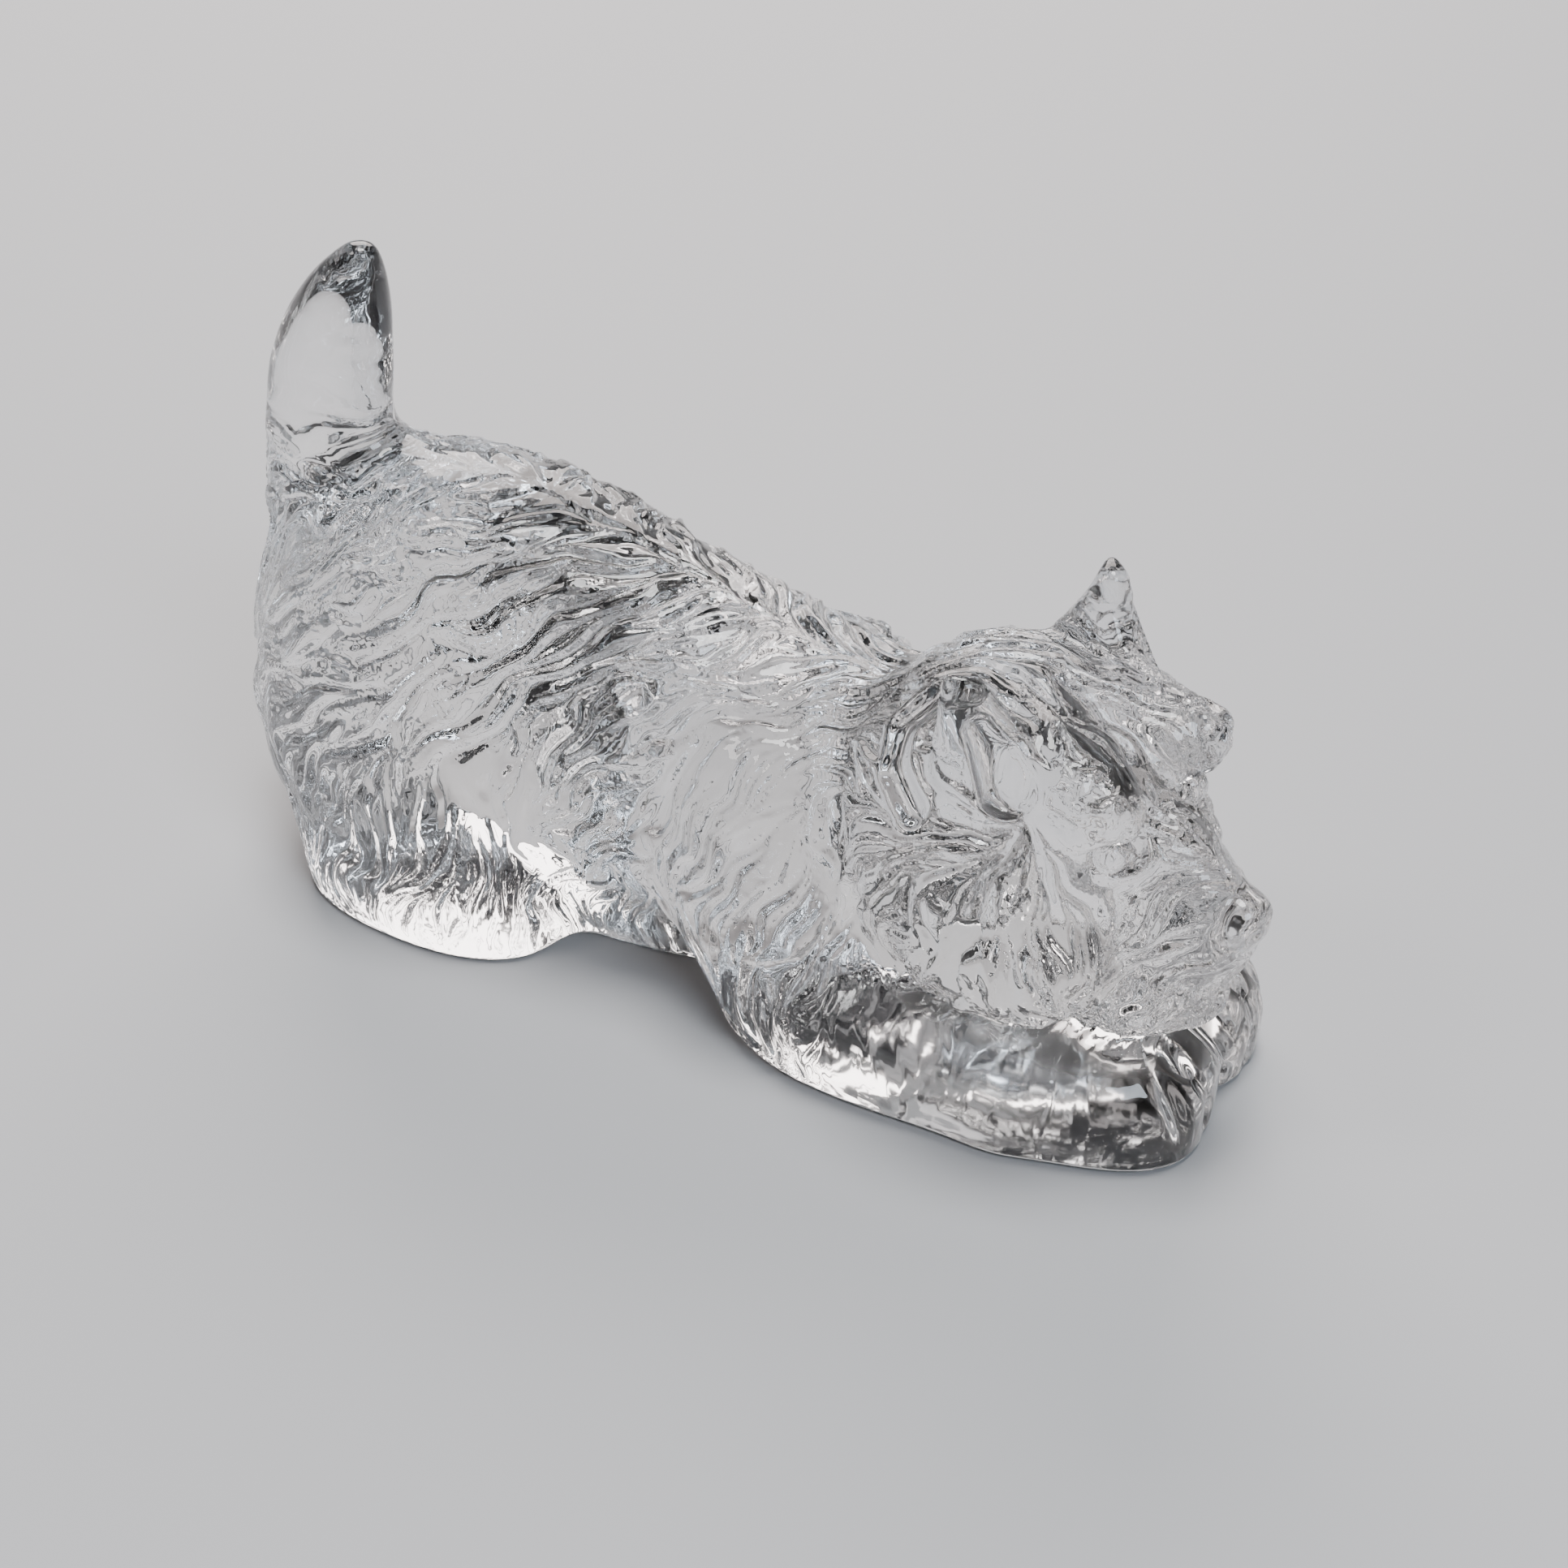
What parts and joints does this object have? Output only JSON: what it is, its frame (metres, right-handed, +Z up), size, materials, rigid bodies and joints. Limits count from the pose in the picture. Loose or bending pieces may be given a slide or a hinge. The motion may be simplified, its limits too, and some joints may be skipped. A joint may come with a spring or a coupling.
{
  "type": "crystal glass dog figurine",
  "caption": "Clear crystal glass terrier in a play bow, chin on its forepaws, rump and thick tail raised, with carved wavy fur, on a flat ground base.",
  "frame": {"origin": "centre of the figure's bounding box, on the plane of its flat ground base", "axes": "+X forward, toward the nose and forepaws; +Y toward the dog's left; +Z up from the base"},
  "size_m": [0.1568, 0.0588, 0.091],
  "materials": {
    "crystal": "fire-polished clear lead crystal"
  },
  "bodies": {
    "root": {"beard": "crystal", "belly": "crystal", "head": "crystal", "left_brow": "crystal", "left_cheek": "crystal", "left_ear": "crystal", "left_eye": "crystal", "left_foreleg": "crystal", "left_forepaw": "crystal", "left_hind_foot": "crystal", "left_shoulder": "crystal", "left_thigh": "crystal", "muzzle": "crystal", "nose": "crystal", "right_brow": "crystal", "right_cheek": "crystal", "right_ear": "crystal", "right_eye": "crystal", "right_foreleg": "crystal", "right_forepaw": "crystal", "right_hind_foot": "crystal", "right_shoulder": "crystal", "right_thigh": "crystal", "rump": "crystal", "tail": "crystal", "torso": "crystal"}
  },
  "joints": []
}
